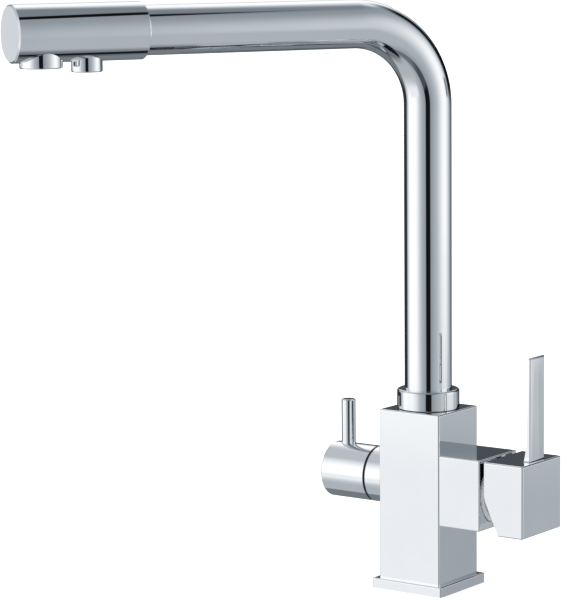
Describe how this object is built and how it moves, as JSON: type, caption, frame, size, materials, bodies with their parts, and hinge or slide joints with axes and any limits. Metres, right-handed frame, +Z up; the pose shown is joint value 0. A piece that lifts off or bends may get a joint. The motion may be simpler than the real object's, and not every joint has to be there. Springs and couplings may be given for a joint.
{
  "type": "three way filtered water tap",
  "caption": "Tall square-bodied kitchen tap with a swivelling bent spout, separate mixed and filtered outlets, a side lever mixer and a side filter valve.",
  "frame": {"origin": "centre of the base plate underside, on the axis that the spout turns about, where the tap stands on the worktop", "axes": "+Z up out of the worktop, +X out along the mixer side, -Y to the front of the column; the spout is stored swivelled 29.5 degrees from -Y toward -X"},
  "size_m": [0.2183, 0.2567, 0.4094],
  "materials": {
    "black_plastic": "matt black plastic",
    "black_rubber": "soft black rubber",
    "chrome_plate": "bright mirror chrome plate",
    "grey_plastic": "matt grey plastic",
    "stainless_steel": "bare stainless steel",
    "turned_brass": "plain turned brass",
    "white_ceramic": "lapped alumina",
    "white_plastic": "matt white plastic"
  },
  "bodies": {
    "tap_body": {"base_gasket": "black_rubber", "base_plate": "chrome_plate", "cartridge_base_seals": "black_rubber", "cartridge_body": "white_plastic", "cartridge_cap": "grey_plastic", "cartridge_cover": "chrome_plate", "cartridge_nut": "chrome_plate", "cold_inlet_insert": "turned_brass", "deck_seal_washer": "black_rubber", "deck_washer": "stainless_steel", "filter_knob_ring": "black_plastic", "filter_valve_neck": "chrome_plate", "filtered_inlet_insert": "turned_brass", "filtered_water_nozzle": "turned_brass", "fixed_ceramic_disc": "white_ceramic", "headwork_body": "turned_brass", "headwork_fixed_disc": "white_ceramic", "headwork_o_ring": "black_rubber", "headwork_seat_seal": "black_rubber", "hot_inlet_insert": "turned_brass", "housing_port_seals": "black_rubber", "housing_screws": "stainless_steel", "main_body": "chrome_plate", "mixer_housing": "chrome_plate", "mounting_shank": "turned_brass", "nozzle_o_ring": "black_rubber", "shank_nut": "turned_brass", "spout_glide_ring": "white_plastic", "spout_retaining_screw": "stainless_steel"},
    "spout": {"spout_tube": "chrome_plate", "spout_collar": "chrome_plate", "spout_spigot": "turned_brass", "spout_o_rings": "black_rubber", "filtered_water_tube": "white_plastic", "outlet_head": "chrome_plate", "head_end_cap": "chrome_plate", "water_divider": "white_plastic", "divider_o_rings": "black_rubber", "main_aerator_housing": "chrome_plate", "main_aerator_insert": "grey_plastic", "main_aerator_seal": "black_rubber", "filtered_outlet_housing": "chrome_plate", "filtered_outlet_insert": "grey_plastic", "filtered_outlet_seal": "black_rubber"},
    "mixer_rotor": {"cartridge_rotor": "grey_plastic", "stem_pivot_pin": "stainless_steel"},
    "mixer_handle": {"cartridge_stem": "turned_brass", "handle_block": "chrome_plate", "handle_lever": "chrome_plate", "handle_grub_screw": "stainless_steel"},
    "disc_carriage": {"moving_ceramic_disc": "white_ceramic", "disc_carrier": "white_plastic"},
    "filter_handle": {"filter_knob": "chrome_plate", "filter_pin_lever": "chrome_plate", "filter_knob_grub_screw": "stainless_steel", "headwork_spindle": "turned_brass", "headwork_moving_disc": "white_ceramic", "spindle_clip": "stainless_steel"}
  },
  "joints": [
    {"name": "spout_swivel", "type": "hinge", "parent": "tap_body", "child": "spout", "pos_m": [0, 0, 0.1], "axis": [0, 0, 1], "continuous": true},
    {"name": "mixer_temperature", "type": "hinge", "parent": "tap_body", "child": "mixer_rotor", "pos_m": [0.045, 0, 0.0628], "axis": [1, 0, 0], "range_deg": [-45, 45]},
    {"name": "mixer_flow", "type": "hinge", "parent": "mixer_rotor", "child": "mixer_handle", "pos_m": [0.045, 0, 0.0628], "axis": [0, 1, 0], "range_deg": [0, 25]},
    {"name": "moving_disc_slide", "type": "slide", "parent": "mixer_rotor", "child": "disc_carriage", "axis": [0, 0, 1], "range_m": [0, 0.0033]},
    {"name": "filter_quarter_turn", "type": "hinge", "parent": "tap_body", "child": "filter_handle", "pos_m": [-0.05, 0, 0.0639], "axis": [1, 0, 0], "range_deg": [0, 90]}
  ],
  "couplings": [
    {"joint": "moving_disc_slide", "follows": "mixer_flow", "m_per_rad": 0.0074}
  ]
}
